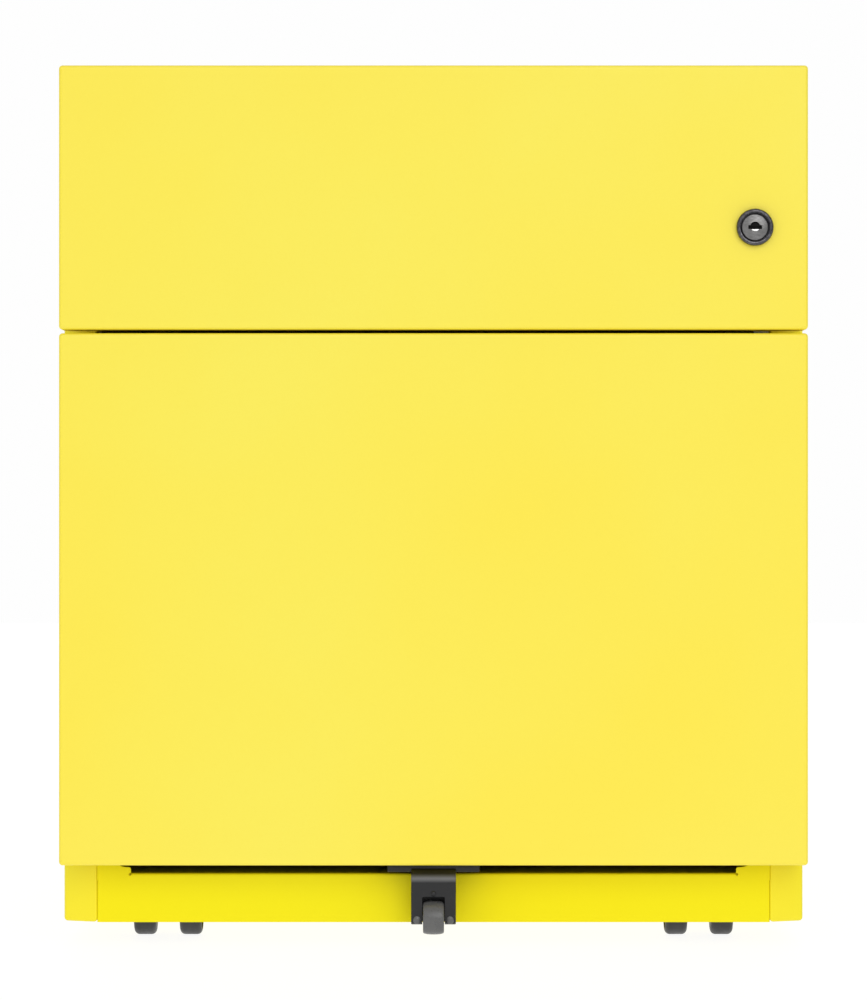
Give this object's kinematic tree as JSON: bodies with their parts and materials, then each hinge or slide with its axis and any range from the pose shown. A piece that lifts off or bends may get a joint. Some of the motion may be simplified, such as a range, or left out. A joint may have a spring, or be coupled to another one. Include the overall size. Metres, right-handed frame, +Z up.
{
  "type": "mobile drawer pedestal",
  "caption": "Steel under-desk pedestal on swivel castors, with a shallow lockable drawer above a deep filing drawer and an anti-tilt wheel under its front.",
  "frame": {"origin": "on the floor, at the centre of the footprint", "axes": "+Z up, the drawers open towards -Y, +X to the right as seen by someone facing the drawers"},
  "size_m": [0.42, 0.569, 0.495],
  "materials": {
    "yellow_powder_coat": "satin powder coat with a fine orange peel",
    "grey_powder_coat": "matt dark powder coat inside the drawers",
    "zinc_plated_steel": "bright zinc plate",
    "black_nickel": "polished dark nickel plate",
    "brushed_nickel": "turned and brushed",
    "black_painted_steel": "satin black paint on pressed steel",
    "grey_nylon": "moulded dark grey nylon",
    "black_nylon": "moulded black nylon"
  },
  "bodies": {
    "carcass": {"side_panel_left": "yellow_powder_coat", "side_panel_right": "yellow_powder_coat", "top_panel": "yellow_powder_coat", "back_panel": "yellow_powder_coat", "base_pan": "yellow_powder_coat", "upright_front_left": "zinc_plated_steel", "upright_front_right": "zinc_plated_steel", "upright_rear_left": "zinc_plated_steel", "upright_rear_right": "zinc_plated_steel", "lock_bar_guide": "zinc_plated_steel", "stationery_slide_outer_left": "zinc_plated_steel", "stationery_slide_outer_right": "zinc_plated_steel", "filing_slide_outer_left": "zinc_plated_steel", "filing_slide_outer_right": "zinc_plated_steel", "castor_front_left_plate": "zinc_plated_steel", "castor_front_right_plate": "zinc_plated_steel", "castor_rear_left_plate": "zinc_plated_steel", "castor_rear_right_plate": "zinc_plated_steel"},
    "stationery_drawer": {"stationery_front": "yellow_powder_coat", "stationery_liner": "yellow_powder_coat", "stationery_tray": "grey_powder_coat", "stationery_back": "grey_powder_coat", "stationery_slide_inner_left": "zinc_plated_steel", "stationery_slide_inner_right": "zinc_plated_steel", "lock_housing": "black_nickel", "lock_nut": "zinc_plated_steel", "stationery_lock_hook": "zinc_plated_steel"},
    "filing_drawer": {"filing_front": "yellow_powder_coat", "filing_liner": "yellow_powder_coat", "filing_tray": "grey_powder_coat", "filing_back": "grey_powder_coat", "file_rail_left": "zinc_plated_steel", "file_rail_right": "zinc_plated_steel", "filing_slide_inner_left": "zinc_plated_steel", "filing_slide_inner_right": "zinc_plated_steel", "filing_lock_hook": "zinc_plated_steel", "stabiliser_bracket": "black_painted_steel", "stabiliser_axle": "zinc_plated_steel"},
    "filing_slide_middle": {"filing_slide_middle_left": "zinc_plated_steel", "filing_slide_middle_right": "zinc_plated_steel"},
    "lock_plug": {"lock_plug": "brushed_nickel", "lock_cam": "zinc_plated_steel"},
    "lock_bar": {"lock_bar": "zinc_plated_steel"},
    "stabiliser_wheel": {"stabiliser_wheel": "grey_nylon"},
    "castor_front_left": {"castor_front_left_hood": "black_nylon", "castor_front_left_axle": "zinc_plated_steel"},
    "castor_front_left_wheel_left": {"castor_front_left_wheel_left": "black_nylon"},
    "castor_front_left_wheel_right": {"castor_front_left_wheel_right": "black_nylon"},
    "castor_front_right": {"castor_front_right_hood": "black_nylon", "castor_front_right_axle": "zinc_plated_steel"},
    "castor_front_right_wheel_left": {"castor_front_right_wheel_left": "black_nylon"},
    "castor_front_right_wheel_right": {"castor_front_right_wheel_right": "black_nylon"},
    "castor_rear_left": {"castor_rear_left_hood": "black_nylon", "castor_rear_left_axle": "zinc_plated_steel"},
    "castor_rear_left_wheel_left": {"castor_rear_left_wheel_left": "black_nylon"},
    "castor_rear_left_wheel_right": {"castor_rear_left_wheel_right": "black_nylon"},
    "castor_rear_right": {"castor_rear_right_hood": "black_nylon", "castor_rear_right_axle": "zinc_plated_steel"},
    "castor_rear_right_wheel_left": {"castor_rear_right_wheel_left": "black_nylon"},
    "castor_rear_right_wheel_right": {"castor_rear_right_wheel_right": "black_nylon"}
  },
  "joints": [
    {"name": "filing_drawer_slide", "type": "slide", "parent": "carcass", "child": "filing_drawer", "axis": [0, -1, 0], "range_m": [0, 0.45]},
    {"name": "filing_slide_middle_run", "type": "slide", "parent": "carcass", "child": "filing_slide_middle", "axis": [0, -1, 0], "range_m": [0, 0.2251]},
    {"name": "lock_bar_lift", "type": "slide", "parent": "carcass", "child": "lock_bar", "axis": [0, 0, 1], "range_m": [0, 0.0071]},
    {"name": "lock_plug_turn", "type": "hinge", "parent": "stationery_drawer", "child": "lock_plug", "pos_m": [0.18, -0.2805, 0.404], "axis": [0, -1, 0], "range_deg": [0, 90]},
    {"name": "stabiliser_wheel_spin", "type": "hinge", "parent": "filing_drawer", "child": "stabiliser_wheel", "pos_m": [0, -0.2707, 0.0163], "axis": [1, 0, 0], "continuous": true},
    {"name": "stationery_drawer_slide", "type": "slide", "parent": "carcass", "child": "stationery_drawer", "axis": [0, -1, 0], "range_m": [0, 0.36]},
    {"name": "swivel_front_left", "type": "hinge", "parent": "carcass", "child": "castor_front_left", "pos_m": [-0.1532, -0.2125, 0.0332], "axis": [0, 0, 1], "continuous": true},
    {"name": "wheel_front_left_left", "type": "hinge", "parent": "castor_front_left", "child": "castor_front_left_wheel_left", "pos_m": [-0.1664, -0.2005, 0.015], "axis": [1, 0, 0], "continuous": true},
    {"name": "wheel_front_left_right", "type": "hinge", "parent": "castor_front_left", "child": "castor_front_left_wheel_right", "pos_m": [-0.14, -0.2005, 0.015], "axis": [1, 0, 0], "continuous": true},
    {"name": "swivel_front_right", "type": "hinge", "parent": "carcass", "child": "castor_front_right", "pos_m": [0.1532, -0.2125, 0.0332], "axis": [0, 0, 1], "continuous": true},
    {"name": "wheel_front_right_left", "type": "hinge", "parent": "castor_front_right", "child": "castor_front_right_wheel_left", "pos_m": [0.14, -0.2005, 0.015], "axis": [1, 0, 0], "continuous": true},
    {"name": "wheel_front_right_right", "type": "hinge", "parent": "castor_front_right", "child": "castor_front_right_wheel_right", "pos_m": [0.1664, -0.2005, 0.015], "axis": [1, 0, 0], "continuous": true},
    {"name": "swivel_rear_left", "type": "hinge", "parent": "carcass", "child": "castor_rear_left", "pos_m": [-0.1532, 0.228, 0.0332], "axis": [0, 0, 1], "continuous": true},
    {"name": "wheel_rear_left_left", "type": "hinge", "parent": "castor_rear_left", "child": "castor_rear_left_wheel_left", "pos_m": [-0.1664, 0.24, 0.015], "axis": [1, 0, 0], "continuous": true},
    {"name": "wheel_rear_left_right", "type": "hinge", "parent": "castor_rear_left", "child": "castor_rear_left_wheel_right", "pos_m": [-0.14, 0.24, 0.015], "axis": [1, 0, 0], "continuous": true},
    {"name": "swivel_rear_right", "type": "hinge", "parent": "carcass", "child": "castor_rear_right", "pos_m": [0.1532, 0.228, 0.0332], "axis": [0, 0, 1], "continuous": true},
    {"name": "wheel_rear_right_left", "type": "hinge", "parent": "castor_rear_right", "child": "castor_rear_right_wheel_left", "pos_m": [0.14, 0.24, 0.015], "axis": [1, 0, 0], "continuous": true},
    {"name": "wheel_rear_right_right", "type": "hinge", "parent": "castor_rear_right", "child": "castor_rear_right_wheel_right", "pos_m": [0.1664, 0.24, 0.015], "axis": [1, 0, 0], "continuous": true}
  ],
  "couplings": [
    {"joint": "filing_slide_middle_run", "follows": "filing_drawer_slide", "ratio": 0.5},
    {"joint": "lock_bar_lift", "follows": "lock_plug_turn", "m_per_rad": 0.0045}
  ]
}
